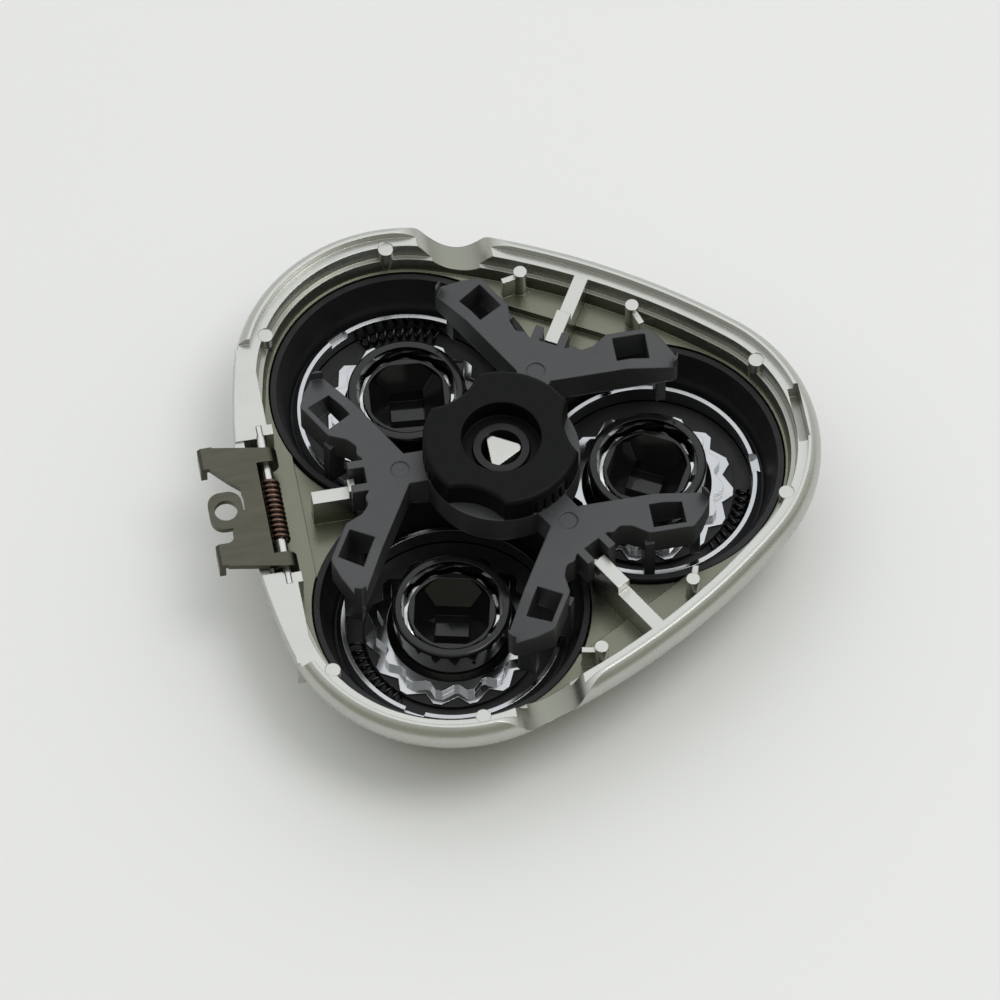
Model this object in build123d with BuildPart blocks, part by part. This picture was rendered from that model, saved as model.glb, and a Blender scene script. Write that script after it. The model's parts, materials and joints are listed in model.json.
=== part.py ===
from build123d import *
import math
import os

# Shaver head frame, lying face down with its inside up. All sizes in millimetres.
# Z is up. The origin is on the table, under the middle of the lock knob.
# +X points to head 1, straight away from the hinge. Heads 2 and 3 follow counter-clockwise.

# Layout of the three heads
head_pitch = 30.0
head_radius = head_pitch / math.sqrt(3)
head_turns = {1: 0, 2: 120, 3: 240}
side_turns = {1: 60, 2: 180, 3: 300}
hinge_side = 2
head_to_side = 60

# How far a cut runs past the face it leaves by
cut_over = 1.0

# Silver shell, seen as a rounded triangle of arcs
shell_height = 14.0
corner_radius = 20.4
side_bow = 1.64
widest_height = 12.0
turn_radius = 3.0
wall_lean = 31.4
wall_thickness = 1.1
face_height = 2.0
face_thickness = 1.1
face_round = 1.0
face_lap = 0.6
face_hole_radius = 13.3
lip_inset = 1.2
lip_width = 0.35
ledge_drop = 1.0
ledge_width = 1.2
step_drop = 1.8
step_draft = 0.2
step_width = 0.55
opening_radius = 16.3
edge_width = 0.3
web_height = 9.4
web_thickness = 1.0
web_step_drop = 1.4
web_step_reach = 23.5
web_half = 9.0
web_start = 12.0

# Ribs, bosses and notches of the shell
rib_thickness = 1.7
rib_post_start = 17.4
rib_post_end = 21.9
rib_post_rise = 0.5
boss_radius = 0.8
corner_pad_radius = 0.9
corner_pad_inset = 2.95
corner_pad_turn = 32.0
corner_pad_drop = 0.15
side_boss_inset = 4.6
side_boss_across = 7.0
side_boss_drop = 0.6
fin_length = 1.5
fin_width = 0.7
fin_drop = 0.8
fin_turn = 131.0
ledge_gap_length = 7.3
ledge_gap_y = 0.85
notch_half_width = 7.0
notch_depth = 3.8

# Hinge side
hinge_inset = 3.7
hinge_z = 12.3
pin_radius = 0.7
pin_fit = 0.05
ear_start = 9.5
ear_end = 10.9
ear_half_width = 1.6
hinge_bay = 9.2
bay_depth = 2.1
bay_inner = 1.9
bay_outer = 2.0
rail_half_width = 1.0
rail_end = 21.7
hinge_rib_end = 22.5
lip_cut_half = 22.3
stop_gap = 0.3

# Black inner tray
tray_floor_thickness = 0.9
tray_foot_radius = 13.9
tray_dish_foot = 13.8
tray_dish_top = 15.4
tray_rim_gap = 0.2
tray_rim_drop = 0.2
tray_rim_band = 1.0
tray_boss_radius = 6.0

# Centre post
post_radius = 3.3
post_height = 17.6
post_bore = 2.4
peg_reach = 2.3
peg_round = 0.6
peg_top = 17.1
post_fit = 0.1
collar_radius = 4.8
collar_thickness = 1.0

# Chrome ring of a head
ring_inner = 12.5
ring_outer = 13.0
ring_bottom = 0.9
flange_radius = 13.5
flange_height = 0.7
flange_bevel = 0.5
ring_notch_width = 2.4
ring_notch_depth = 0.9

# Guard carrier of a head
carrier_gap = 0.1
carrier_bottom = 1.3
carrier_floor = 2.6
carrier_seat = 3.2
channel_width = 2.1

# Steel guard
guard_radius = 8.1
guard_sheet = 0.45
guard_face = 0.5
guard_bevel = 0.5
guard_cap_radius = 4.4
guard_cap_recess = 0.25
slot_count = 30
slot_width = 0.35
slot_start = 4.9
slot_end = 7.3
collar_sheet = 0.3
collar_rise = 1.0
collar_teeth = 15
collar_edge = 0.1
collar_depth = 1.1
collar_step = 1.2
collar_skew = 0.3
collar_flat = 0.22
mark_turn = 45.0
mark_reach = 8.75
mark_radius = 0.45
mark_notch_radius = 0.75

# Cutter and its hub
cutter_lift = 0.1
blade_count = 15
blade_thickness = 0.5
blade_lean = 0.6
blade_start = 4.9
blade_end = 7.2
blade_root = 0.15
cutter_plate_bottom = 2.4
cutter_plate_thickness = 0.6
cutter_plate_radius = 7.0
cutter_hole_radius = 2.2
cutter_wall_inner = 5.2
cutter_wall_outer = 5.6
cutter_wall_top = 7.3
cutter_notch_count = 12
cutter_notch_depth = 0.65
cutter_notch_share = 0.85
cutter_notch_skew = 0.65
cutter_turns = {1: -29, 2: -5, 3: -13}
hub_gap = 0.1
hub_rim = 0.35
hub_top = 7.8
hub_pin_bottom = 1.4
socket_width = 4.0
socket_bottom = 3.4
funnel_width = 8.8
funnel_bottom = 5.4

# Cap ring over a cutter
cap_outer = 7.0
cap_top = 9.1
cap_skirt_gap = 0.05
cap_foot_lift = 0.4
cap_cutter_gap = 0.35
cap_round = 0.45

# Retaining frame
frame_bottom = 12.0
frame_top = 16.3
frame_ring_radius = 9.2
limb_inner = 8.7
limb_outer = 13.8
limb_start = 7.4
limb_end = 22.8
limb_slope_start = 10.0
limb_slope_drop = 1.1
arm_back = 16.1
fork_end = 18.0
fork_gap = 0.25
fork_width = 1.0
pocket_start = 15.6
pocket_length = 3.9
pocket_inner = 10.0
pocket_width = 3.15
foot_clearance = 0.4
foot_reach = 11.9
foot_width = 2.2
foot_length = 1.2
end_foot_start = 20.2
end_foot_inner = 9.6
limb_end_points = ((22.6, 8.7), (22.9, 9.9), (21.6, 12.1), (20.2, 13.8))
scoop_points = ((15.0, 13.8), (13.2, 12.5), (11.7, 12.2), (10.9, 13.0))
arm_round = 0.8
ejector_radius = 1.1
ejector_depth = 0.15
ejector_reach = 12.0
float_travel = 1.0

# Lock knob
knob_gap = 0.05
knob_radius = 9.2
knob_top = 20.0
knob_well_radius = 4.7
knob_web = 0.85
knob_bore_fit = 0.08
scallop_radius = 6.5
scallop_depth = 1.7
knob_round = 0.6
grip_count = 48
grip_depth = 0.25
grip_limit = 0.78
grip_width = 0.45

# Hinge bracket
plate_thickness = 0.75
plate_reach = 6.7
plate_half = 8.15
plate_outer_shift = 0.4
plate_round = 0.8
knuckle_shift = -0.75
knuckle_length = 1.9
coil_slot_reach = 1.15
bay_cut_reach = 3.4
bay_cut_top = 5.6
bay_cut_bottom = -4.7
bay_slope_out = 1.4
bay_slope_top = 3.5
bay_slope_end = 2.2
bay_low_out = 2.0
hook_drop = 1.6
hook_reach = 1.0
hook_width = 2.9
loop_reach = 5.7
loop_y = -0.3
loop_length = 4.0
loop_width = 5.0
loop_round = 1.6
loop_inner = 1.35
neck_width = 2.2
neck_shift = 1.4

# Springs
coil_wire = 0.4
coil_radius = 1.0
coil_turns = 12
coil_points = 8
coil_leg_turn = -130.0
coil_start_y = -4.8
coil_end_y = 3.4
coil_leg = 1.4
head_spring_wire = 0.36
head_spring_gap = 0.12
head_spring_turns = 9
head_spring_start = -60.0
head_spring_end = -12.0
head_spring_lift = 0.05
head_spring_points = 8


def polar(reach, degrees):
    return (reach * math.cos(math.radians(degrees)), reach * math.sin(math.radians(degrees)))


def head_centre(head):
    return polar(head_radius, head_turns[head])


def turned_point(degrees, out, across):
    spot = level_plane((0, 0), degrees, 0).from_local_coords((out, across, 0))
    return (spot.X, spot.Y)


def head_axis(head):
    x, y = head_centre(head)
    return Axis((x, y, 0), (0, 0, 1))


def section_plane(centre, degrees):
    # Upright plane through a vertical axis: local x is the reach from the axis, local y is height
    x, y = centre
    outward = Vector(*polar(1, degrees), 0)
    return Plane(origin=(x, y, 0), x_dir=outward, z_dir=outward.cross(Vector(0, 0, 1)))


def level_plane(centre, degrees, height):
    x, y = centre
    return Plane(origin=(x, y, height), x_dir=(*polar(1, degrees), 0), z_dir=(0, 0, 1))


# The shell's outline: three corner arcs about the heads, and three shallow side arcs tangent to them
side_reach = head_radius / 2 + corner_radius + side_bow
side_gap = side_reach - corner_radius
side_back = (head_radius**2 - side_gap**2) / (2 * (side_gap - head_radius / 2))
side_radius = side_reach + side_back
side_sweep = math.degrees(math.atan2(head_pitch / 2, head_radius / 2 + side_back))
corner_sweep = head_to_side - side_sweep


def draw_outline(inset):
    for head in head_turns:
        turn = head_turns[head]
        CenterArc(head_centre(head), corner_radius - inset, turn - corner_sweep, 2 * corner_sweep)
        bow = polar(-side_back, turn + head_to_side)
        CenterArc(bow, side_radius - inset, turn + head_to_side - side_sweep, 2 * side_sweep)


hinge_x = hinge_inset - side_reach

# Heights and insets of the shell's wall
lean_tan = math.tan(math.radians(wall_lean))
lean_sin = math.sin(math.radians(wall_lean))
lean_cos = math.cos(math.radians(wall_lean))
turn_inset = turn_radius * (1 - lean_cos)
turn_height = widest_height - turn_radius * lean_sin
round_height = face_height + face_round * (1 - lean_sin)
round_inset = turn_inset + (turn_height - round_height) * lean_tan
face_inset = round_inset + face_round * lean_cos
face_top = face_height + face_thickness
web_bottom = web_height - web_thickness
ledge_height = shell_height - ledge_drop
step_height = ledge_height - step_drop
ledge_outer = lip_inset + lip_width
ledge_inner = ledge_outer + ledge_width
step_outer = ledge_inner + step_draft
step_inner = step_outer + step_width
opening_inset = corner_radius - opening_radius
wall_level = wall_thickness / lean_cos


def wall_inset(height):
    return turn_inset + (turn_height - height) * lean_tan + wall_level


def draw_wall(reach):
    lip_point = (reach - lip_inset, shell_height)
    widest_point = (reach, widest_height)
    turn_point = (reach - turn_inset, turn_height)
    round_point = (reach - round_inset, round_height)
    face_point = (reach - face_inset, face_height)
    TangentArc(widest_point, lip_point, tangent=(0, 1))
    TangentArc(widest_point, turn_point, tangent=(0, -1))
    Line(turn_point, round_point)
    TangentArc(round_point, face_point, tangent=(-lean_sin, -lean_cos))
    Polyline(
        face_point,
        (reach - face_inset - face_lap, face_height),
        (reach - face_inset - face_lap, face_top),
        (reach - wall_inset(face_top), face_top),
        (reach - wall_inset(web_bottom), web_bottom),
        (reach - opening_inset + edge_width, web_bottom),
        (reach - opening_inset + edge_width, web_height),
        (reach - step_inner, step_height),
        (reach - step_outer, step_height),
        (reach - ledge_inner, ledge_height),
        (reach - ledge_outer, ledge_height),
        (reach - ledge_outer, shell_height),
        lip_point,
    )


# Silver shell
web_low = web_height - web_step_drop
with BuildPart() as shell_frame:
    for head in head_turns:
        with BuildSketch(section_plane(head_centre(head), head_turns[head] - corner_sweep)):
            with BuildLine():
                draw_wall(corner_radius)
            make_face()
        revolve(axis=head_axis(head), revolution_arc=2 * corner_sweep)
    for side in side_turns:
        bow = polar(-side_back, side_turns[side])
        with BuildSketch(section_plane(bow, side_turns[side] - side_sweep)):
            with BuildLine():
                draw_wall(side_radius)
            make_face()
        revolve(axis=Axis((*bow, 0), (0, 0, 1)), revolution_arc=2 * side_sweep)
    # Face plate with the three head holes
    with BuildSketch(Plane.XY.offset(face_height)):
        with BuildLine():
            draw_outline(face_inset + wall_thickness / 2)
        make_face()
        for head in head_turns:
            with Locations(head_centre(head)):
                Circle(face_hole_radius, mode=Mode.SUBTRACT)
    extrude(amount=face_thickness)
    # Web round the three openings
    with BuildSketch(Plane.XY.offset(web_bottom)):
        with BuildLine():
            draw_outline(wall_inset(web_bottom) - wall_level / 2)
        make_face()
        for head in head_turns:
            with Locations(head_centre(head)):
                Circle(opening_radius, mode=Mode.SUBTRACT)
        Circle(post_radius, mode=Mode.SUBTRACT)
    extrude(amount=web_thickness)
    # The web steps down towards the middle of each side
    for side in side_turns:
        with BuildSketch(level_plane((0, 0), side_turns[side], web_low)):
            with Locations(((web_start + web_step_reach) / 2, 0)):
                Rectangle(web_step_reach - web_start, 2 * web_half)
        extrude(amount=shell_height, mode=Mode.SUBTRACT)
        for reach_end, top in ((web_step_reach, web_low), (web_step_reach + web_thickness, web_bottom)):
            with BuildSketch(level_plane((0, 0), side_turns[side], web_low - web_thickness)):
                with Locations(((web_start + reach_end) / 2, 0)):
                    Rectangle(reach_end - web_start, 2 * web_half)
                for head in head_turns:
                    with Locations(polar(head_radius, head_turns[head] - side_turns[side])):
                        Circle(opening_radius, mode=Mode.SUBTRACT)
            extrude(amount=top - web_low + web_thickness)
    # Ribs with their taller inner posts
    for side in side_turns:
        with BuildSketch(level_plane((0, 0), side_turns[side], web_low - web_thickness / 2)):
            with Locations(((rib_post_start + rib_post_end) / 2, 0)):
                Rectangle(rib_post_end - rib_post_start, rib_thickness)
        extrude(amount=shell_height + rib_post_rise - web_low + web_thickness / 2)
        rib_end = hinge_rib_end if side == hinge_side else side_reach - (ledge_inner + ledge_outer) / 2
        with BuildSketch(level_plane((0, 0), side_turns[side], web_low - web_thickness / 2)):
            with Locations(((rib_post_end + rib_end) / 2, 0)):
                Rectangle(rib_end - rib_post_end, rib_thickness)
        extrude(amount=ledge_height - web_low + web_thickness / 2)
    # Gap in the upper ledge at the corner away from the hinge
    with BuildSketch(Plane.XY.offset(step_height)):
        with Locations((head_radius + corner_radius - (ledge_inner + ledge_outer) / 2, ledge_gap_y)):
            Rectangle(ledge_width, ledge_gap_length)
    extrude(amount=shell_height, mode=Mode.SUBTRACT)
    # Round pads in the ledge at the corners
    for head in head_turns:
        for way in (-1, 1):
            pad_plane = level_plane(head_centre(head), head_turns[head] + way * corner_pad_turn, web_bottom)
            with BuildSketch(pad_plane):
                with Locations((corner_radius - corner_pad_inset, 0)):
                    Circle(corner_pad_radius)
            extrude(amount=shell_height, mode=Mode.SUBTRACT)
            with BuildSketch(pad_plane):
                with Locations((corner_radius - corner_pad_inset, 0)):
                    Circle(corner_pad_radius)
            extrude(amount=ledge_height - corner_pad_drop - web_bottom)
    # Side bosses with their fins
    for side in side_turns:
        if side != hinge_side:
            for way in (-1, 1):
                spot = turned_point(side_turns[side], side_reach - side_boss_inset, way * side_boss_across)
                with BuildSketch(level_plane(spot, side_turns[side] + way * fin_turn, web_bottom)):
                    Circle(boss_radius)
                extrude(amount=shell_height - side_boss_drop - web_bottom)
                with BuildSketch(level_plane(spot, side_turns[side] + way * fin_turn, web_bottom)):
                    with Locations((fin_length / 2 + boss_radius / 2, 0)):
                        Rectangle(fin_length + boss_radius, fin_width)
                extrude(amount=shell_height - side_boss_drop - fin_drop - web_bottom)
    # Hinge rails and ears
    for way in (-1, 1):
        with BuildSketch(Plane.XY.offset(web_bottom)):
            with Locations((hinge_x, way * (ear_start + rail_end) / 2)):
                Rectangle(2 * rail_half_width, rail_end - ear_start)
        extrude(amount=ledge_height - web_bottom)
        with BuildSketch(Plane.XY.offset(web_bottom)):
            with Locations((hinge_x, way * (ear_start + ear_end) / 2)):
                Rectangle(2 * ear_half_width, ear_end - ear_start)
        extrude(amount=hinge_z + pin_radius + stop_gap - web_bottom)
    # The lip stops at the hinge side
    with BuildSketch(Plane.XY.offset(ledge_height)):
        with Locations((hinge_x, 0)):
            Rectangle(2 * (side_reach + hinge_x) + corner_radius / 2, 2 * lip_cut_half)
    extrude(amount=shell_height, mode=Mode.SUBTRACT)
    # Bay for the bracket's knuckles, and the lower rim that the bracket lies on
    with BuildSketch(Plane.XY.offset(hinge_z - bay_depth)):
        with Locations((hinge_x + (bay_inner - bay_outer) / 2, 0)):
            Rectangle(bay_inner + bay_outer, 2 * hinge_bay)
    extrude(amount=shell_height, mode=Mode.SUBTRACT)
    plate_bottom = hinge_z + pin_radius + pin_fit
    with BuildSketch(Plane.XY.offset(plate_bottom - stop_gap)):
        with Locations((-side_reach, 0)):
            Rectangle(2 * (side_reach + hinge_x + bay_inner), 2 * hinge_bay)
    extrude(amount=shell_height, mode=Mode.SUBTRACT)
    with BuildSketch(Plane.XZ.offset(-ear_end)):
        with Locations((hinge_x, hinge_z)):
            Circle(pin_radius + pin_fit)
    extrude(amount=2 * ear_end, mode=Mode.SUBTRACT)
    # Finger notches in the rim, either side of the hinge line
    with BuildSketch(Plane.XZ.offset(-side_reach - corner_radius)):
        with BuildLine():
            notch_left = (-notch_half_width / 2, shell_height - notch_depth / 2)
            notch_right = (notch_half_width / 2, shell_height - notch_depth / 2)
            TangentArc((-notch_half_width, shell_height), notch_left, tangent=(1, 0))
            ThreePointArc(notch_left, (0, shell_height - notch_depth), notch_right)
            TangentArc((notch_half_width, shell_height), notch_right, tangent=(-1, 0))
            Polyline(
                (notch_half_width, shell_height),
                (notch_half_width, shell_height + cut_over),
                (-notch_half_width, shell_height + cut_over),
                (-notch_half_width, shell_height),
            )
        make_face()
    extrude(amount=2 * (side_reach + corner_radius), mode=Mode.SUBTRACT)
    # Rounded three-cornered peg in the middle, with its corners towards the heads
    with BuildSketch(Plane.XY.offset(face_top)) as peg_outline:
        RegularPolygon(peg_reach + peg_round, 3)
        fillet(peg_outline.vertices(), peg_round)
    extrude(amount=peg_top - face_top)
shell_frame.part.label = "shell_frame"


# Black inner tray: three round dishes joined round the middle
tray_floor = face_top + tray_floor_thickness
tray_top = web_height - tray_rim_drop
tray_rim_radius = opening_radius - tray_rim_gap
tray_rim_foot = tray_top - tray_rim_band
with BuildPart() as inner_tray:
    for head in head_turns:
        with BuildSketch(section_plane(head_centre(head), head_turns[head])):
            Polygon(
                (0, face_top),
                (tray_foot_radius, face_top),
                (tray_rim_radius, tray_rim_foot),
                (tray_rim_radius, tray_top),
                (0, tray_top),
                align=None,
            )
        revolve(axis=head_axis(head))
    with BuildSketch(Plane.XY.offset(face_top)):
        Circle(tray_boss_radius)
    extrude(amount=tray_rim_foot - face_top)
    for head in head_turns:
        with BuildSketch(section_plane(head_centre(head), head_turns[head])):
            Polygon(
                (0, 0),
                (face_hole_radius, 0),
                (face_hole_radius, tray_floor),
                (tray_dish_foot, tray_floor),
                (tray_dish_top, tray_top),
                (tray_dish_top, tray_top + cut_over),
                (0, tray_top + cut_over),
                align=None,
            )
        revolve(axis=head_axis(head), mode=Mode.SUBTRACT)
    with BuildSketch():
        Circle(post_radius + post_fit)
    extrude(amount=shell_height, mode=Mode.SUBTRACT)
inner_tray.part.label = "inner_tray"

# Centre post: a tube round the shell's peg, with the collar that the frame rests on
with BuildPart() as centre_post:
    with BuildSketch(Plane.XZ):
        Polygon(
            (0, face_top),
            (post_radius, face_top),
            (post_radius, frame_bottom - collar_thickness - collar_radius + post_radius),
            (collar_radius, frame_bottom - collar_thickness),
            (collar_radius, frame_bottom),
            (post_radius, frame_bottom),
            (post_radius, post_height),
            (0, post_height),
            align=None,
        )
    revolve(axis=Axis.Z)
    with BuildSketch():
        Circle(post_bore)
    extrude(amount=post_height, mode=Mode.SUBTRACT)
centre_post.part.label = "centre_post"

# The pieces of each head
flange_bottom = tray_floor
flange_top = flange_bottom + flange_height
ring_top = flange_top + flange_bevel
carrier_outer = ring_inner - carrier_gap
carrier_wall_radius = carrier_outer - channel_width
carrier_inner = guard_radius + carrier_gap
collar_top = carrier_seat + collar_sheet
collar_tip = carrier_wall_radius - collar_edge
guard_top = collar_top + collar_rise
guard_inner = guard_radius - guard_sheet
guard_floor = guard_face
blade_bottom = guard_floor + cutter_lift
cutter_plate_top = cutter_plate_bottom + cutter_plate_thickness
hub_radius = cutter_wall_inner - hub_gap
cap_skirt_radius = guard_inner - cap_skirt_gap
cap_foot = cutter_plate_top + cap_foot_lift
cap_inner = cutter_wall_outer + cap_cutter_gap
spring_radius = (carrier_wall_radius + carrier_outer) / 2
head_spring_radius = (channel_width - head_spring_wire) / 2 - head_spring_gap
spring_height = carrier_floor + head_spring_radius + head_spring_wire / 2 + head_spring_lift

# Four-sided funnel of a hub, cut off round by the hub's rim
with BuildPart() as funnel:
    with BuildSketch(Plane.XY.offset(funnel_bottom)):
        Rectangle(socket_width, socket_width)
    with BuildSketch(Plane.XY.offset(hub_top)):
        Rectangle(funnel_width, funnel_width)
    loft()
    with BuildSketch():
        Circle(hub_radius - hub_rim)
    extrude(amount=hub_top, mode=Mode.INTERSECT)

chrome_rings = {}
guard_carriers = {}
guards = {}
cutters = {}
cutter_hubs = {}
cap_rings = {}
head_springs = {}

for head in head_turns:
    centre = head_centre(head)
    turn = head_turns[head]
    axis = head_axis(head)

    # Bright ring whose flange lies on the tray
    with BuildPart() as chrome_ring:
        with BuildSketch(section_plane(centre, turn)):
            Polygon(
                (ring_inner, ring_bottom),
                (ring_outer, ring_bottom),
                (ring_outer, flange_bottom),
                (flange_radius, flange_bottom),
                (flange_radius, flange_top),
                (flange_radius - flange_bevel, ring_top),
                (ring_inner, ring_top),
                align=None,
            )
        revolve(axis=axis)
        with BuildSketch(level_plane(centre, turn, ring_top - ring_notch_depth)):
            with Locations((ring_outer, 0)):
                Rectangle(2 * (flange_radius - ring_inner) + cut_over, ring_notch_width)
        extrude(amount=2 * ring_notch_depth, mode=Mode.SUBTRACT)
    chrome_rings[head] = chrome_ring

    # Black ring that fills the space between the bright ring and the guard
    with BuildPart() as guard_carrier:
        with BuildSketch(section_plane(centre, turn)):
            Polygon(
                (carrier_inner, carrier_bottom),
                (carrier_outer, carrier_bottom),
                (carrier_outer, carrier_floor),
                (carrier_wall_radius, carrier_floor),
                (carrier_wall_radius, carrier_seat),
                (carrier_inner, carrier_seat),
                align=None,
            )
        revolve(axis=axis)
    guard_carriers[head] = guard_carrier

    # Steel guard: a slotted cap with a toothed collar
    with BuildPart() as guard:
        with BuildSketch(section_plane(centre, turn)):
            Polygon(
                (0, guard_cap_recess),
                (guard_cap_radius, guard_cap_recess),
                (guard_cap_radius + guard_bevel / 2, 0),
                (guard_radius - guard_bevel, 0),
                (guard_radius, guard_bevel),
                (guard_radius, guard_top),
                (guard_inner, guard_top),
                (guard_inner, guard_floor + guard_bevel / 2),
                (guard_inner - guard_bevel / 2, guard_floor),
                (guard_cap_radius + guard_bevel / 2, guard_floor),
                (guard_cap_radius, guard_floor + guard_cap_recess),
                (0, guard_floor + guard_cap_recess),
                align=None,
            )
        revolve(axis=axis)
        # Two steps of blunt, skewed teeth, the lower one wider
        tooth_turn = 360 / collar_teeth
        for tip, top in ((collar_tip, collar_top), (collar_tip - collar_step, guard_top)):
            tooth_points = []
            for tooth in range(collar_teeth):
                tooth_points += [
                    polar(tip - collar_depth, tooth * tooth_turn),
                    polar(tip, (tooth + collar_skew) * tooth_turn),
                    polar(tip, (tooth + collar_skew + collar_flat) * tooth_turn),
                ]
            with BuildSketch(level_plane(centre, turn, carrier_seat)):
                Polygon(*tooth_points, align=None)
                Circle(guard_inner, mode=Mode.SUBTRACT)
            extrude(amount=top - carrier_seat)
        # Round mark and notch that set the guard's turn
        with BuildSketch(level_plane(centre, turn + mark_turn, carrier_seat)):
            with Locations((mark_reach, 0)):
                Circle(mark_radius)
            with Locations((collar_tip, 0)):
                Circle(mark_notch_radius)
        extrude(amount=guard_top - carrier_seat, mode=Mode.SUBTRACT)
        with BuildSketch(level_plane(centre, turn, 0)):
            with PolarLocations((slot_start + slot_end) / 2, slot_count):
                Rectangle(slot_end - slot_start, slot_width)
        extrude(amount=guard_floor, mode=Mode.SUBTRACT)
    guards[head] = guard

    # Cutter: a plate with a notched wall and a ring of leaning blades
    spin = cutter_turns[head]
    with BuildPart() as cutter:
        with BuildSketch(level_plane(centre, spin, cutter_plate_bottom)):
            Circle(cutter_plate_radius)
            Circle(cutter_hole_radius, mode=Mode.SUBTRACT)
        extrude(amount=cutter_plate_thickness)
        with BuildSketch(level_plane(centre, spin, cutter_plate_bottom)):
            Circle(cutter_wall_outer)
            Circle(cutter_wall_inner, mode=Mode.SUBTRACT)
        extrude(amount=cutter_wall_top - cutter_plate_bottom)
        notch_width = cutter_notch_share * 2 * math.pi * cutter_wall_outer / cutter_notch_count
        for notch in range(cutter_notch_count):
            notch_plane = section_plane(centre, spin + 90 + notch * 360 / cutter_notch_count)
            with BuildSketch(notch_plane.offset(cutter_wall_inner - hub_gap)):
                Polygon(
                    (0, cutter_wall_top),
                    (cutter_notch_skew * notch_width, cutter_wall_top - cutter_notch_depth),
                    (notch_width, cutter_wall_top),
                    align=None,
                )
            extrude(amount=cutter_wall_outer - cutter_wall_inner + 2 * hub_gap, mode=Mode.SUBTRACT)
        blade_top = cutter_plate_bottom + blade_root
        for blade in range(blade_count):
            blade_plane = section_plane(centre, spin + 90 + blade * 360 / blade_count)
            with BuildSketch(blade_plane.offset(blade_start)):
                Polygon(
                    (-blade_thickness / 2, blade_bottom),
                    (blade_thickness / 2, blade_bottom),
                    (blade_thickness / 2 + blade_lean, blade_top),
                    (-blade_thickness / 2 + blade_lean, blade_top),
                    align=None,
                )
            extrude(amount=blade_end - blade_start)
    cutters[head] = cutter

    # Drive hub with its square socket
    with BuildPart() as cutter_hub:
        with BuildSketch(section_plane(centre, spin)):
            Polygon(
                (0, hub_pin_bottom),
                (cutter_hole_radius - hub_gap, hub_pin_bottom),
                (cutter_hole_radius - hub_gap, cutter_plate_top),
                (hub_radius, cutter_plate_top),
                (hub_radius, hub_top),
                (0, hub_top),
                align=None,
            )
        revolve(axis=axis)
        with BuildSketch(level_plane(centre, spin, socket_bottom)):
            Rectangle(socket_width, socket_width)
        extrude(amount=hub_top - socket_bottom, mode=Mode.SUBTRACT)
        add(funnel.part.moved(Location((*centre, 0), (0, 0, spin))), mode=Mode.SUBTRACT)
    cutter_hubs[head] = cutter_hub

    # Cap ring that keeps the cutter in its guard
    with BuildPart() as cap_ring:
        with BuildSketch(section_plane(centre, turn)):
            with BuildLine():
                Polyline(
                    (cap_outer, cap_top - cap_round),
                    (cap_outer, guard_top + cap_skirt_radius - cap_outer),
                    (cap_skirt_radius, guard_top),
                    (cap_skirt_radius, cap_foot),
                    (cap_inner, cap_foot),
                    (cap_inner, cap_top),
                    (cap_outer - cap_round, cap_top),
                )
                TangentArc((cap_outer - cap_round, cap_top), (cap_outer, cap_top - cap_round), tangent=(1, 0))
            make_face()
        revolve(axis=axis)
    cap_rings[head] = cap_ring

    # Coil spring that lies in the carrier's channel
    sections = []
    steps = head_spring_turns * head_spring_points
    sweep_turn = head_spring_end - head_spring_start
    climb = math.radians(sweep_turn) * spring_radius / head_spring_turns / (2 * math.pi * head_spring_radius)
    for step in range(steps + 1):
        reach_plane = section_plane(centre, turn + head_spring_start + sweep_turn * step / steps)
        across, rise = polar(head_spring_radius, step * 360 / head_spring_points)
        spot = reach_plane.from_local_coords((spring_radius + across, spring_height + rise, 0))
        outward = spot - reach_plane.from_local_coords((spring_radius, spring_height, 0))
        onward = reach_plane.z_dir
        side = outward.cross(onward).normalized()
        sections.append(Plane(origin=spot, x_dir=outward, z_dir=side - onward * climb))
    with BuildPart() as head_spring:
        for section in sections:
            with BuildSketch(section):
                Rectangle(head_spring_wire, head_spring_wire)
        loft(ruled=True)
    head_springs[head] = head_spring

# Retaining frame: a ring with three forked arms whose limbs reach over the heads
frame_height = frame_top - frame_bottom
foot_bottom = ring_top + float_travel + foot_clearance
slope = limb_slope_drop / (limb_outer - limb_slope_start)


def arm_point(point):
    # From a head's own directions (out, across) to those of the side next to it
    return turned_point(-head_to_side, *point)


def flipped(points):
    return [(reach, -across) for reach, across in reversed(points)]


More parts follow.
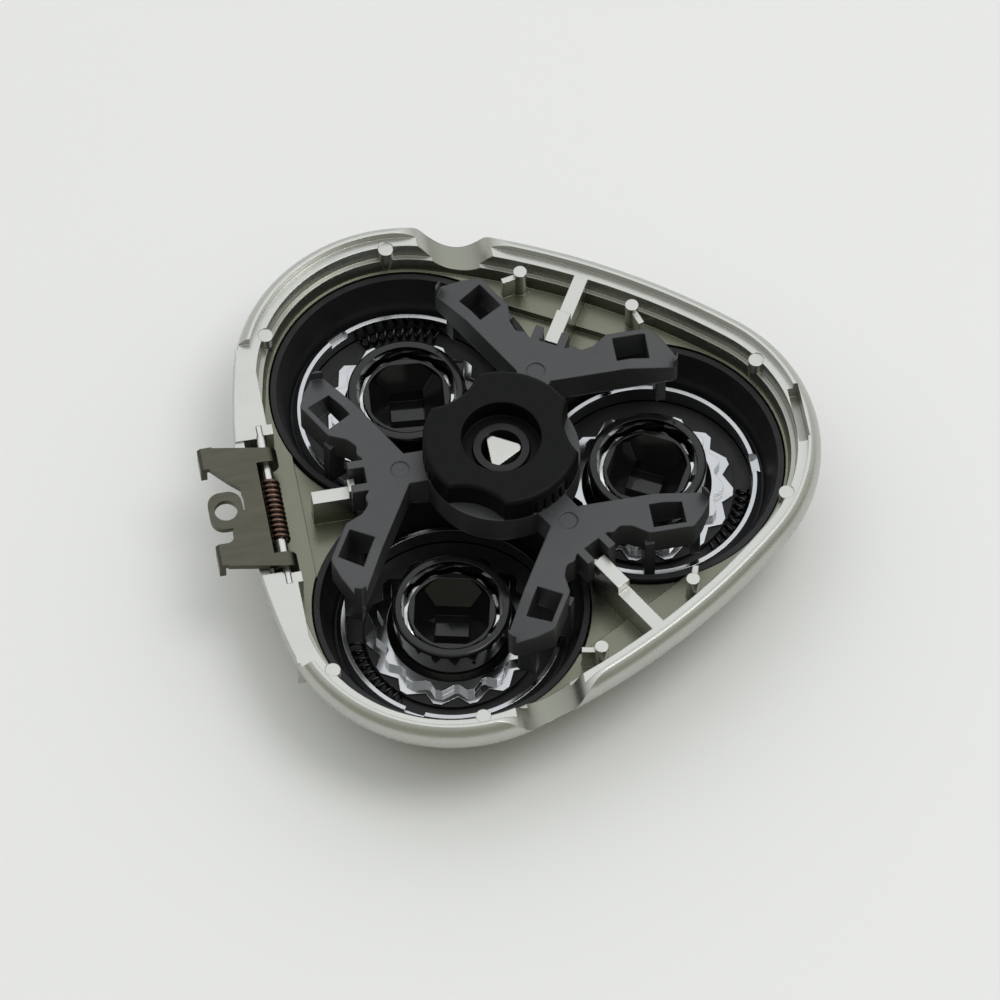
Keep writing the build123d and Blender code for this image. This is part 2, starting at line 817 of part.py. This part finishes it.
arm_corner = arm_point((limb_start, limb_inner))
fork_base = arm_point(scoop_points[-1])
half_outline = [arm_point(point) for point in limb_end_points + scoop_points]
half_outline.append((arm_back, fork_base[1] + fork_base[0] - arm_back))
arm_outline = [(0, arm_corner[1]), arm_corner] + half_outline
arm_outline = arm_outline + flipped(arm_outline)
with BuildPart() as retaining_frame:
    with BuildSketch(Plane.XY.offset(frame_bottom)):
        Circle(frame_ring_radius)
    extrude(amount=frame_height)
    for side in side_turns:
        with BuildSketch(level_plane((0, 0), side_turns[side], frame_bottom)) as arm:
            Polygon(*arm_outline, align=None)
            fillet(arm.vertices().filter_by(lambda corner: corner.X > arm_corner[0]), arm_round)
            prong = fork_end - arm_back + fork_width
            for way in (-1, 1):
                with Locations((fork_end - prong / 2, way * (rib_thickness / 2 + fork_gap + fork_width / 2))):
                    Rectangle(prong, fork_width)
        extrude(amount=frame_height)
    for head in head_turns:
        centre_plane = level_plane((0, 0), head_turns[head], frame_bottom)
        for way in (-1, 1):
            # The limb's top slopes down towards its outer edge
            edge = section_plane((0, 0), head_turns[head] + 90 * way).offset(-way * (limb_end + cut_over))
            with BuildSketch(edge):
                Polygon(
                    (limb_slope_start, frame_top),
                    (limb_outer + cut_over, frame_top - slope * (limb_outer - limb_slope_start + cut_over)),
                    (limb_outer + cut_over, frame_top + cut_over),
                    (limb_slope_start, frame_top + cut_over),
                    align=None,
                )
            extrude(amount=way * (limb_end + cut_over - scoop_points[1][0]), mode=Mode.SUBTRACT)
            # Pocket through the limb
            with BuildSketch(centre_plane):
                with Locations((pocket_start + pocket_length / 2, way * (pocket_inner + pocket_width / 2))):
                    Rectangle(pocket_length, pocket_width)
            extrude(amount=frame_height, mode=Mode.SUBTRACT)
            # Feet that hold the head down in the tray
            with BuildSketch(level_plane((0, 0), head_turns[head], foot_bottom)):
                with Locations((pocket_start - foot_length / 2, way * (foot_reach + foot_width / 2))):
                    Rectangle(foot_length, foot_width)
                with Locations((end_foot_start + foot_length / 2, way * (end_foot_inner + foot_width / 2))):
                    Rectangle(foot_length, foot_width)
            extrude(amount=frame_bottom + frame_height / 2 - foot_bottom)
    # Round ejector marks on the arms
    for side in side_turns:
        with BuildSketch(level_plane((0, 0), side_turns[side], frame_top)):
            with Locations((ejector_reach, 0)):
                Circle(ejector_radius)
        extrude(amount=-ejector_depth, mode=Mode.SUBTRACT)
    with BuildSketch():
        Circle(post_radius + post_fit)
    extrude(amount=post_height, mode=Mode.SUBTRACT)
retaining_frame.part.label = "retaining_frame"

# Lock knob with three scallops, a well and a gripped rim
knob_bottom = frame_top + knob_gap
scallop_centre = knob_radius + scallop_radius - scallop_depth
with BuildPart() as lock_knob:
    with BuildSketch(Plane.XY.offset(knob_bottom)):
        Circle(knob_radius)
        for head in head_turns:
            with Locations(polar(scallop_centre, head_turns[head])):
                Circle(scallop_radius, mode=Mode.SUBTRACT)
    extrude(amount=knob_top - knob_bottom)
    fillet(lock_knob.faces().sort_by(Axis.Z)[-1].outer_wire().edges(), knob_round)
    with BuildSketch(Plane.XY.offset(knob_bottom + knob_web)):
        Circle(knob_well_radius)
    extrude(amount=knob_top - knob_bottom, mode=Mode.SUBTRACT)
    with BuildSketch(Plane.XY.offset(knob_bottom)):
        Circle(post_radius + knob_bore_fit)
    extrude(amount=knob_top, mode=Mode.SUBTRACT)
    with BuildSketch(Plane.XY.offset(knob_bottom)):
        for groove in range(grip_count):
            groove_turn = groove * 360 / grip_count
            facings = [math.cos(math.radians(groove_turn - turn)) for turn in head_turns.values()]
            if max(facings) < grip_limit:
                with Locations(Location((*polar(knob_radius, groove_turn), 0), (0, 0, groove_turn))):
                    Rectangle(2 * grip_depth, grip_width)
    extrude(amount=knob_top - knob_bottom - 2 * knob_round, mode=Mode.SUBTRACT)
lock_knob.part.label = "lock_knob"

# Hinge bracket: a flat sheet rolled round the pin at two knuckles, with hooks and a loop
plate_top = plate_bottom + plate_thickness
knuckle_bore = pin_radius + pin_fit
knuckle_radius = knuckle_bore + plate_thickness
plate_outer_x = hinge_x - plate_reach
bay_cut_x = hinge_x - bay_cut_reach
loop_x = hinge_x - loop_reach
with BuildPart() as hinge_bracket:
    with BuildSketch(Plane.XY.offset(plate_bottom)) as plate:
        Polygon(
            (hinge_x, knuckle_shift + plate_half),
            (plate_outer_x, plate_outer_shift + plate_half),
            (plate_outer_x, bay_cut_top),
            (bay_cut_x - bay_slope_out, bay_slope_top),
            (bay_cut_x, bay_slope_end),
            (bay_cut_x, loop_y - neck_shift),
            (bay_cut_x - bay_low_out, loop_y - neck_shift - neck_width / 2),
            (bay_cut_x - bay_low_out, bay_cut_bottom),
            (plate_outer_x, bay_cut_bottom),
            (plate_outer_x, plate_outer_shift - plate_half),
            (hinge_x, knuckle_shift - plate_half),
            align=None,
        )
        fillet(plate.vertices().filter_by(lambda corner: plate_outer_x < corner.X < hinge_x), plate_round)
        with Locations((hinge_x - coil_slot_reach / 2, knuckle_shift)):
            Rectangle(coil_slot_reach, 2 * (plate_half - knuckle_length), mode=Mode.SUBTRACT)
        # Loop on its neck
        with Locations(((loop_x + bay_cut_x) / 2, loop_y - neck_shift)):
            Rectangle(bay_cut_x - loop_x, neck_width)
        with Locations((loop_x, loop_y)):
            RectangleRounded(loop_length, loop_width, loop_round)
            Circle(loop_inner, mode=Mode.SUBTRACT)
    extrude(amount=plate_thickness)
    for way in (-1, 1):
        knuckle_end = knuckle_shift + way * plate_half
        with BuildSketch(Plane.XZ.offset(-knuckle_end)):
            with Locations((hinge_x, hinge_z)):
                Circle(knuckle_radius)
        extrude(amount=way * knuckle_length)
        with BuildSketch(Plane.XZ.offset(-knuckle_end)):
            with Locations((hinge_x, hinge_z)):
                Circle(knuckle_bore)
        extrude(amount=way * knuckle_length, mode=Mode.SUBTRACT)
    # Hooks bent down at the outer corners
    hook_x = plate_outer_x - hook_reach
    for hook_start in (plate_outer_shift + plate_half, bay_cut_bottom):
        with BuildSketch(Plane.XZ.offset(-hook_start)):
            Polygon(
                (plate_outer_x + plate_thickness, plate_bottom),
                (hook_x + plate_thickness, plate_bottom),
                (hook_x + plate_thickness, plate_bottom - hook_drop),
                (hook_x, plate_bottom - hook_drop),
                (hook_x, plate_top - plate_thickness / 2),
                (hook_x + plate_thickness / 2, plate_top),
                (plate_outer_x + plate_thickness, plate_top),
                align=None,
            )
        extrude(amount=hook_width)
hinge_bracket.part.label = "hinge_bracket"

# Hinge pin through the ears
with BuildPart() as hinge_pin:
    with BuildSketch(Plane.XZ.offset(-ear_end)):
        with Locations((hinge_x, hinge_z)):
            Circle(pin_radius)
    extrude(amount=2 * ear_end)
hinge_pin.part.label = "hinge_pin"


# Coil spring round the hinge pin, with a leg at each end
def coil_plane(turned, along):
    across, rise = polar(coil_radius, turned)
    outward = Vector(across, 0, rise).normalized()
    climb = (coil_end_y - coil_start_y) / coil_turns / (2 * math.pi * coil_radius)
    onward = Vector(-outward.Z, climb, outward.X)
    return Plane(origin=(hinge_x + across, along, hinge_z + rise), x_dir=outward, z_dir=onward)


with BuildPart() as torsion_spring:
    steps = coil_turns * coil_points
    turned = [coil_leg_turn + step * 360 / coil_points for step in range(steps + 1)]
    along = [coil_start_y + (coil_end_y - coil_start_y) * step / steps for step in range(steps + 1)]
    for step in range(steps + 1):
        with BuildSketch(coil_plane(turned[step], along[step])):
            Rectangle(coil_wire, coil_wire)
    loft(ruled=True)
    with BuildSketch(coil_plane(turned[0], along[0])):
        Rectangle(coil_wire, coil_wire)
    extrude(amount=-coil_leg)
    with BuildSketch(coil_plane(turned[-1], along[-1])):
        Rectangle(coil_wire, coil_wire)
    extrude(amount=coil_leg)
torsion_spring.part.label = "torsion_spring"

os.makedirs("parts", exist_ok=True)
single_pieces = (
    shell_frame,
    inner_tray,
    centre_post,
    retaining_frame,
    lock_knob,
    hinge_bracket,
    hinge_pin,
    torsion_spring,
)
for piece in single_pieces:
    export_step(piece.part, f"parts/{piece.part.label}.step")
for name, pieces in (
    ("chrome_ring", chrome_rings),
    ("guard_carrier", guard_carriers),
    ("guard", guards),
    ("cutter", cutters),
    ("cutter_hub", cutter_hubs),
    ("cap_ring", cap_rings),
    ("head_spring", head_springs),
):
    for head, piece in pieces.items():
        piece.part.label = f"{name}_{head}"
        export_step(piece.part, f"parts/{name}_{head}.step")
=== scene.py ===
import json
import math

import bpy
from mathutils import Matrix, Vector


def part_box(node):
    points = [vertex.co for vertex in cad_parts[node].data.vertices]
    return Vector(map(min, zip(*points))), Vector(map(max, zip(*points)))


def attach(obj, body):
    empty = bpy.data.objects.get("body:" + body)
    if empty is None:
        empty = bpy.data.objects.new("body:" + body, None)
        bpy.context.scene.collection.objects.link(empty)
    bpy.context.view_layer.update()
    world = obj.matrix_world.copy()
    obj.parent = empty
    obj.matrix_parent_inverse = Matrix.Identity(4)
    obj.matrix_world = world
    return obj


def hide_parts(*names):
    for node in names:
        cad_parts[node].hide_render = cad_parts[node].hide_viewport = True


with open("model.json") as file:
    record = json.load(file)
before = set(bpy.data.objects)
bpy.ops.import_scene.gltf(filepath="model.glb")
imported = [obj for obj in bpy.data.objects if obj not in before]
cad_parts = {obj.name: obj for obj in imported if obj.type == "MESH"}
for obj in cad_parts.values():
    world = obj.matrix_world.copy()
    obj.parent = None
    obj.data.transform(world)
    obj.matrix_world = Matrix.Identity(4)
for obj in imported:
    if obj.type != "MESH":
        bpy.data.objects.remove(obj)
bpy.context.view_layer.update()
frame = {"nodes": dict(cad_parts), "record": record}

MM = 0.001
HEADS = (1, 2, 3)

# Camera at the photograph's angle
CAMERA_AZIMUTH = math.radians(-9.746)
CAMERA_ELEVATION = math.radians(58.870)
CAMERA_ROLL = math.radians(-0.720)
CAMERA_SHIFT = Vector((0.226, -0.650, 1206.645)) * MM
CAMERA_BASE = 7.0 * MM
CAMERA_LENS = 369.96

# Floor
FLOOR_SIZE = 4.0
FLOOR_COLOR = (0.755, 0.755, 0.748)
FLOOR_DARK = (0.75, 0.75, 0.743)
FLOOR_LIGHT = (0.76, 0.76, 0.753)

# Sky: a plain backdrop for the camera, and for the light a glow that is brightest up and behind
BACKDROP_COLOR = (0.76, 0.76, 0.755, 1)
GLOW_TOWARD = (0.05, 0.5, 0.75)
GLOW_START = 0.1
GLOW_END = 0.95
GLOW_DARK = (0.33, 0.34, 0.27, 1)
GLOW_BRIGHT = (1.36, 1.38, 1.41, 1)

# Soft key light
KEY_PLACE = (0.35, -0.05, 0.93)
KEY_SIZE = 0.5
KEY_POWER = 2.2

# Painted shade on the shell: its colour is darkened low down on the inside, where shade falls
INSIDE_PAINTED_SHADE = (0.34, 0.35, 0.28, 1)
OUTWARD_START = 0.1
OUTWARD_END = 0.4
UNSHADED_HEIGHT_START = 9.5 * MM
UNSHADED_HEIGHT_END = 12.8 * MM


# Helpers for node trees

def material(name, color, roughness, metallic=0.0, **sockets):
    made = bpy.data.materials.new(name)
    made.use_nodes = True
    shader = made.node_tree.nodes["Principled BSDF"]
    shader.inputs["Base Color"].default_value = (*color, 1)
    shader.inputs["Roughness"].default_value = roughness
    shader.inputs["Metallic"].default_value = metallic
    for socket, value in sockets.items():
        shader.inputs[socket].default_value = value
    return made


def add_node(made, kind, **settings):
    node = made.node_tree.nodes.new(kind)
    for key, value in settings.items():
        if key in node.inputs:
            node.inputs[key].default_value = value
        else:
            setattr(node, key, value)
    return node


def link(made, source, target):
    made.node_tree.links.new(source, target)


def object_coordinates(made, stretch=(1, 1, 1)):
    place = add_node(made, "ShaderNodeTexCoord")
    mapping = add_node(made, "ShaderNodeMapping", Scale=stretch)
    link(made, place.outputs["Object"], mapping.inputs["Vector"])
    return mapping.outputs["Vector"]


def noise(made, where, scale, detail=3.0, roughness=0.5):
    node = add_node(made, "ShaderNodeTexNoise", Scale=scale, Detail=detail, Roughness=roughness)
    link(made, where, node.inputs["Vector"])
    return node.outputs["Fac"]


def spread(made, value, low, high, start=0.3, end=0.7):
    node = add_node(made, "ShaderNodeMapRange")
    for key, number in (("From Min", start), ("From Max", end), ("To Min", low), ("To Max", high)):
        node.inputs[key].default_value = number
    link(made, value, node.inputs["Value"])
    return node.outputs["Result"]


def blend_color(made, value, low, high):
    node = add_node(made, "ShaderNodeMix", data_type="RGBA")
    node.inputs["A"].default_value = (*low, 1)
    node.inputs["B"].default_value = (*high, 1)
    link(made, value, node.inputs["Factor"])
    return node.outputs["Result"]


def surface(made, where, grain_scale, grain_height, edge=0.00008):
    """Fine grain over softly rounded edges."""
    shader = made.node_tree.nodes["Principled BSDF"]
    rounded = add_node(made, "ShaderNodeBevel", samples=6, Radius=edge)
    bump = add_node(made, "ShaderNodeBump", Strength=1.0, Distance=grain_height)
    link(made, rounded.outputs["Normal"], bump.inputs["Normal"])
    link(made, noise(made, where, grain_scale, 4.0), bump.inputs["Height"])
    link(made, bump.outputs["Normal"], shader.inputs["Normal"])


def vary(made, where, scale, colors, rough, detail=4.0):
    shader = made.node_tree.nodes["Principled BSDF"]
    field = noise(made, where, scale, detail)
    link(made, blend_color(made, spread(made, field, 0, 1), *colors), shader.inputs["Base Color"])
    other = noise(made, where, scale * 2.7, detail)
    link(made, spread(made, other, *rough), shader.inputs["Roughness"])


# Materials: patches of two close colours, a fine grain whose height is in metres, and rounded edges

def plastic(name, colors, rough, patch, grain, height, edge, specular=0.5, metallic=0.0):
    made = material(name, colors[0], rough[0], metallic, **{"Specular IOR Level": specular})
    where = object_coordinates(made)
    vary(made, where, patch, colors, rough)
    surface(made, where, grain, height, edge)
    return made


def paint_shade_inside(made):
    """Painted shade: darkens the shell's colour low down on its inside, but not on its rim or outer wall.
    """
    shader = made.node_tree.nodes["Principled BSDF"]
    place = add_node(made, "ShaderNodeTexCoord")
    flat = add_node(made, "ShaderNodeVectorMath", operation="MULTIPLY")
    flat.inputs[1].default_value = (1, 1, 0)
    reach = add_node(made, "ShaderNodeVectorMath", operation="NORMALIZE")
    facing = add_node(made, "ShaderNodeVectorMath", operation="DOT_PRODUCT")
    split = add_node(made, "ShaderNodeSeparateXYZ")
    bright = add_node(made, "ShaderNodeMath", operation="MAXIMUM")
    shade = add_node(made, "ShaderNodeMix", data_type="RGBA", blend_type="MULTIPLY")
    own_color = shader.inputs["Base Color"].links[0].from_socket
    link(made, place.outputs["Object"], flat.inputs[0])
    link(made, flat.outputs["Vector"], reach.inputs[0])
    link(made, reach.outputs["Vector"], facing.inputs[0])
    link(made, place.outputs["Normal"], facing.inputs[1])
    link(made, place.outputs["Object"], split.inputs["Vector"])
    link(made, spread(made, facing.outputs["Value"], 0, 1, OUTWARD_START, OUTWARD_END), bright.inputs[0])
    link(made, spread(made, split.outputs["Z"], 0, 1, UNSHADED_HEIGHT_START, UNSHADED_HEIGHT_END), bright.inputs[1])
    link(made, spread(made, bright.outputs["Value"], 1, 0, 0, 1), shade.inputs["Factor"])
    link(made, own_color, shade.inputs["A"])
    # painted shade: a dark olive tint is multiplied in where the shell faces inward and lies low
    shade.inputs["B"].default_value = INSIDE_PAINTED_SHADE
    link(made, shade.outputs["Result"], shader.inputs["Base Color"])


def steel(name, dark, light, rough, stretch, grain, height):
    made = material(name, light, rough[0], 1.0)
    where = object_coordinates(made, stretch)
    vary(made, where, grain / 12, (dark, light), rough)
    surface(made, where, grain, height, 0.00006)
    return made


PLAIN = (1, 1, 1)
ACROSS = (1, 6, 1)
ALONG_PIN = (8, 1, 8)
UPRIGHT = (1, 1, 4)
finishes = {
    "silver_plastic": plastic(
        "silver_plastic", ((0.47, 0.475, 0.445), (0.49, 0.495, 0.465)), (0.25, 0.30),
        180.0, 5200.0, 0.000002, 0.00015, metallic=0.9
    ),
    "black_plastic": plastic(
        "black_plastic", ((0.008, 0.008, 0.009), (0.012, 0.012, 0.013)), (0.44, 0.56),
        260.0, 4200.0, 0.00001, 0.00008, specular=0.3
    ),
    "grey_plastic": plastic(
        "grey_plastic", ((0.034, 0.035, 0.038), (0.038, 0.039, 0.043)), (0.40, 0.46),
        900.0, 5200.0, 0.000008, 0.0003
    ),
    "knob_plastic": plastic(
        "knob_plastic", ((0.0025, 0.0029, 0.0026), (0.0035, 0.0039, 0.0036)), (0.38, 0.45),
        900.0, 5200.0, 0.000008, 0.0003, specular=0.1
    ),
    "gloss_black": plastic(
        "gloss_black", ((0.0035, 0.004, 0.0035), (0.005, 0.0055, 0.005)), (0.08, 0.12),
        700.0, 900.0, 0.000003, 0.00012, specular=0.4
    ),
    "bracket_steel": steel(
        "bracket_steel", (0.075, 0.074, 0.056), (0.09, 0.088, 0.069), (0.3, 0.38), ACROSS, 3000.0, 0.000004
    ),
    "pin_steel": steel(
        "pin_steel", (0.5, 0.5, 0.48), (0.6, 0.6, 0.58), (0.2, 0.3), ALONG_PIN, 2000.0, 0.000003
    ),
    "spring_steel": steel(
        "spring_steel", (0.10, 0.06, 0.045), (0.2, 0.13, 0.1), (0.25, 0.4), PLAIN, 2600.0, 0.000004
    ),
    "bright_ring": steel(
        "bright_ring", (0.40, 0.41, 0.42), (0.45, 0.46, 0.47), (0.14, 0.2), PLAIN, 1500.0, 0.000002
    ),
    "guard_steel": steel(
        "guard_steel", (0.42, 0.43, 0.44), (0.47, 0.48, 0.49), (0.1, 0.14), UPRIGHT, 1800.0, 0.000003
    ),
    "cutter_steel": steel(
        "cutter_steel", (0.50, 0.51, 0.52), (0.55, 0.56, 0.57), (0.14, 0.2), UPRIGHT, 2200.0, 0.000003
    ),
    "head_spring_steel": steel(
        "head_spring_steel", (0.03, 0.03, 0.032), (0.05, 0.05, 0.053), (0.25, 0.4), PLAIN, 2600.0, 0.000003
    ),
}
# Painted shade: darkens the silver shell's colour low down on its inside
paint_shade_inside(finishes["silver_plastic"])


def dress(obj, slot):
    obj.data.materials.clear()
    obj.data.materials.append(finishes[slot])


node_slots = {part["node"]: part["material_slot"] for part in frame["record"]["subparts"]}
for node, obj in frame["nodes"].items():
    dress(obj, node_slots[node])


# Coil springs, as round wire

def tube(name, points, radius, sides=10):
    """Round wire through the points, with closed ends."""
    vertices = []
    faces = []
    side = None
    for i, point in enumerate(points):
        before = points[max(i - 1, 0)]
        after = points[min(i + 1, len(points) - 1)]
        along = (after - before).normalized()
        if side is None:
            side = along.orthogonal().normalized()
        side = (side - along * side.dot(along)).normalized()
        across = along.cross(side)
        for k in range(sides):
            angle = 2 * math.pi * k / sides
            vertices.append(point + radius * (math.cos(angle) * side + math.sin(angle) * across))
    for i in range(len(points) - 1):
        for k in range(sides):
            n = (k + 1) % sides
            a = i * sides
            b = a + sides
            faces.append((a + k, a + n, b + n, b + k))
    faces.append(tuple(reversed(range(sides))))
    last = (len(points) - 1) * sides
    faces.append(tuple(last + k for k in range(sides)))
    mesh = bpy.data.meshes.new(name)
    mesh.from_pydata([tuple(v) for v in vertices], [], faces)
    for face in mesh.polygons:
        face.use_smooth = True
    obj = bpy.data.objects.new(name, mesh)
    bpy.context.scene.collection.objects.link(obj)
    return obj


def centre_of(node):
    low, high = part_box(node)
    return (low + high) / 2


HEAD_SPRING_REACH = 11.35 * MM
HEAD_SPRING_HEIGHT = 3.58 * MM
HEAD_SPRING_RADIUS = 0.75 * MM
HEAD_SPRING_WIRE = 0.36 * MM
HEAD_SPRING_TURNS = 9
HEAD_SPRING_SWEEP = (math.radians(-60), math.radians(-12))
STEPS_PER_TURN = 20


def head_spring(head):
    centre = centre_of(f"cutter_hub_{head}")
    turn = math.atan2(centre.y, centre.x)
    points = []
    steps = HEAD_SPRING_TURNS * STEPS_PER_TURN
    for step in range(steps + 1):
        share = step / steps
        reach_turn = turn + HEAD_SPRING_SWEEP[0] + share * (HEAD_SPRING_SWEEP[1] - HEAD_SPRING_SWEEP[0])
        coil_turn = 2 * math.pi * HEAD_SPRING_TURNS * share
        reach = HEAD_SPRING_REACH + HEAD_SPRING_RADIUS * math.cos(coil_turn)
        height = HEAD_SPRING_HEIGHT + HEAD_SPRING_RADIUS * math.sin(coil_turn)
        points.append(Vector((
            centre.x + reach * math.cos(reach_turn),
            centre.y + reach * math.sin(reach_turn),
            height,
        )))
    obj = tube(f"head_coil_{head}", points, HEAD_SPRING_WIRE / 2)
    dress(obj, "head_spring_steel")
    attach(obj, f"head_{head}")
    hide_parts(f"head_spring_{head}")


for head in HEADS:
    head_spring(head)

HINGE = Vector((-27.0, 0, 12.3)) * MM
COIL_RADIUS = 1.0 * MM
COIL_WIRE = 0.4 * MM
COIL_TURNS = 12
COIL_ENDS = (-4.8 * MM, 3.4 * MM)
COIL_LEG = 1.4 * MM
COIL_START = math.radians(-130)


def hinge_coil():
    steps = COIL_TURNS * STEPS_PER_TURN
    points = []
    for step in range(steps + 1):
        share = step / steps
        angle = COIL_START + 2 * math.pi * COIL_TURNS * share
        along = COIL_ENDS[0] + share * (COIL_ENDS[1] - COIL_ENDS[0])
        points.append(HINGE + Vector((COIL_RADIUS * math.cos(angle), along, COIL_RADIUS * math.sin(angle))))
    first = (points[0] - points[1]).normalized()
    last = (points[-1] - points[-2]).normalized()
    legs_in = [points[0] + first * COIL_LEG * k / 4 for k in (4, 3, 2, 1)]
    legs_out = [points[-1] + last * COIL_LEG * k / 4 for k in (1, 2, 3, 4)]
    obj = tube("hinge_coil", legs_in + points + legs_out, COIL_WIRE / 2)
    dress(obj, "spring_steel")
    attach(obj, "root")
    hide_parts("torsion_spring")


hinge_coil()


# Floor, light and camera

def floor_material():
    made = material("floor", FLOOR_COLOR, 0.7)
    where = object_coordinates(made)
    vary(made, where, 3.0, (FLOOR_DARK, FLOOR_LIGHT), (0.65, 0.75))
    return made


def make_floor():
    half = FLOOR_SIZE / 2
    mesh = bpy.data.meshes.new("floor")
    corners = [(-half, -half, 0), (half, -half, 0), (half, half, 0), (-half, half, 0)]
    mesh.from_pydata(corners, [], [(0, 1, 2, 3)])
    floor = bpy.data.objects.new("floor", mesh)
    floor.data.materials.append(floor_material())
    bpy.context.scene.collection.objects.link(floor)


def make_world():
    world = bpy.data.worlds.new("studio")
    bpy.context.scene.world = world
    world.use_nodes = True
    tree = world.node_tree
    nodes = tree.nodes
    background = nodes["Background"]
    where = nodes.new("ShaderNodeTexCoord")
    toward = nodes.new("ShaderNodeVectorMath")
    toward.operation = "DOT_PRODUCT"
    toward.inputs[1].default_value = GLOW_TOWARD
    tree.links.new(where.outputs["Generated"], toward.inputs[0])
    ramp = nodes.new("ShaderNodeMapRange")
    ramp.inputs["From Min"].default_value = GLOW_START
    ramp.inputs["From Max"].default_value = GLOW_END
    tree.links.new(toward.outputs["Value"], ramp.inputs["Value"])
    tint = nodes.new("ShaderNodeMix")
    tint.data_type = "RGBA"
    tint.inputs["A"].default_value = GLOW_DARK
    tint.inputs["B"].default_value = GLOW_BRIGHT
    tree.links.new(ramp.outputs["Result"], tint.inputs["Factor"])
    path = nodes.new("ShaderNodeLightPath")
    seen = nodes.new("ShaderNodeMix")
    seen.data_type = "RGBA"
    seen.inputs["B"].default_value = BACKDROP_COLOR
    tree.links.new(path.outputs["Is Camera Ray"], seen.inputs["Factor"])
    tree.links.new(tint.outputs["Result"], seen.inputs["A"])
    tree.links.new(seen.outputs["Result"], background.inputs["Color"])
    background.inputs["Strength"].default_value = 1.0


def soft_light(name, place, size, power):
    data = bpy.data.lights.new(name, "AREA")
    data.shape = "DISK"
    data.size = size
    data.energy = power
    light = bpy.data.objects.new(name, data)
    light.location = place
    light.rotation_mode = "QUATERNION"
    light.rotation_quaternion = (-Vector(place)).to_track_quat("-Z", "Y")
    bpy.context.scene.collection.objects.link(light)


def make_camera():
    right = Vector((math.cos(CAMERA_AZIMUTH), math.sin(CAMERA_AZIMUTH), 0))
    back = Vector((
        math.sin(CAMERA_AZIMUTH) * math.cos(CAMERA_ELEVATION),
        -math.cos(CAMERA_AZIMUTH) * math.cos(CAMERA_ELEVATION),
        math.sin(CAMERA_ELEVATION),
    ))
    up = back.cross(right)
    right, up = (
        right * math.cos(CAMERA_ROLL) + up * math.sin(CAMERA_ROLL),
        up * math.cos(CAMERA_ROLL) - right * math.sin(CAMERA_ROLL),
    )
    place = back * CAMERA_SHIFT.z + up * CAMERA_SHIFT.y - right * CAMERA_SHIFT.x
    place.z += CAMERA_BASE
    data = bpy.data.cameras.new("camera")
    data.lens = CAMERA_LENS
    data.clip_start = 0.05
    data.clip_end = 20
    camera = bpy.data.objects.new("camera", data)
    axes = Matrix((right, up, back)).transposed().to_4x4()
    camera.matrix_world = Matrix.Translation(place) @ axes
    bpy.context.scene.collection.objects.link(camera)
    bpy.context.scene.camera = camera


make_floor()
make_world()
soft_light("key", KEY_PLACE, KEY_SIZE, KEY_POWER)
make_camera()
bpy.context.scene.view_settings.view_transform = "Standard"
